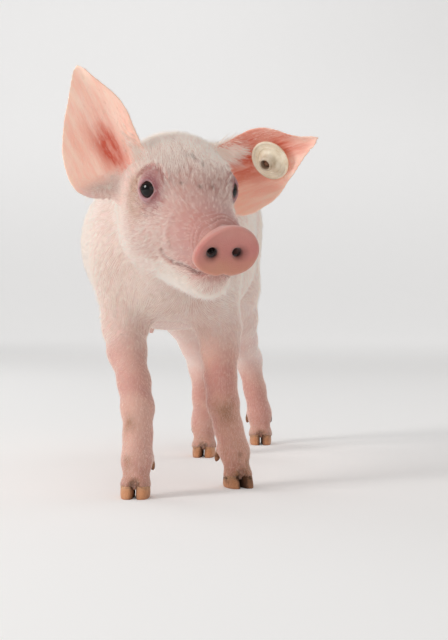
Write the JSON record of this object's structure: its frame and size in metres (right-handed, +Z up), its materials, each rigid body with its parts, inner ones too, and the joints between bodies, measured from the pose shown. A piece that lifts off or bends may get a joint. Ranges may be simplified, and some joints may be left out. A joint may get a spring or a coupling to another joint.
{
  "type": "piglet",
  "caption": "Life-size still piglet, standing with its head turned to its left, ears pricked, with a round button tag in its left ear.",
  "frame": {"origin": "on the floor, in the middle of the space that the piglet takes up", "axes": "+Z up, -Y the way the piglet stands and +X its left; its head is turned about 24 degrees towards +X"},
  "size_m": [0.1966, 0.5044, 0.3096],
  "materials": {
    "skin": "living pink skin under short white bristles",
    "hoof": "tan horn, dull, with dirt in the cleft",
    "eye": "wet, near black",
    "tag": "cream moulded plastic, slightly glossy"
  },
  "bodies": {
    "root": {"dewclaw_front_left_inner": "hoof", "dewclaw_front_left_outer": "hoof", "dewclaw_front_right_inner": "hoof", "dewclaw_front_right_outer": "hoof", "dewclaw_hind_left_inner": "hoof", "dewclaw_hind_left_outer": "hoof", "dewclaw_hind_right_inner": "hoof", "dewclaw_hind_right_outer": "hoof", "ear_left": "skin", "ear_right": "skin", "ear_tag_button": "tag", "ear_tag_stud": "tag", "eye_left": "eye", "eye_right": "eye", "head": "skin", "hoof_front_left_inner": "hoof", "hoof_front_left_outer": "hoof", "hoof_front_right_inner": "hoof", "hoof_front_right_outer": "hoof", "hoof_hind_left_inner": "hoof", "hoof_hind_left_outer": "hoof", "hoof_hind_right_inner": "hoof", "hoof_hind_right_outer": "hoof", "leg_front_left": "skin", "leg_front_right": "skin", "leg_hind_left": "skin", "leg_hind_right": "skin", "neck": "skin", "nose_plate": "skin", "snout": "skin", "tail": "skin", "trunk": "skin"}
  },
  "joints": []
}
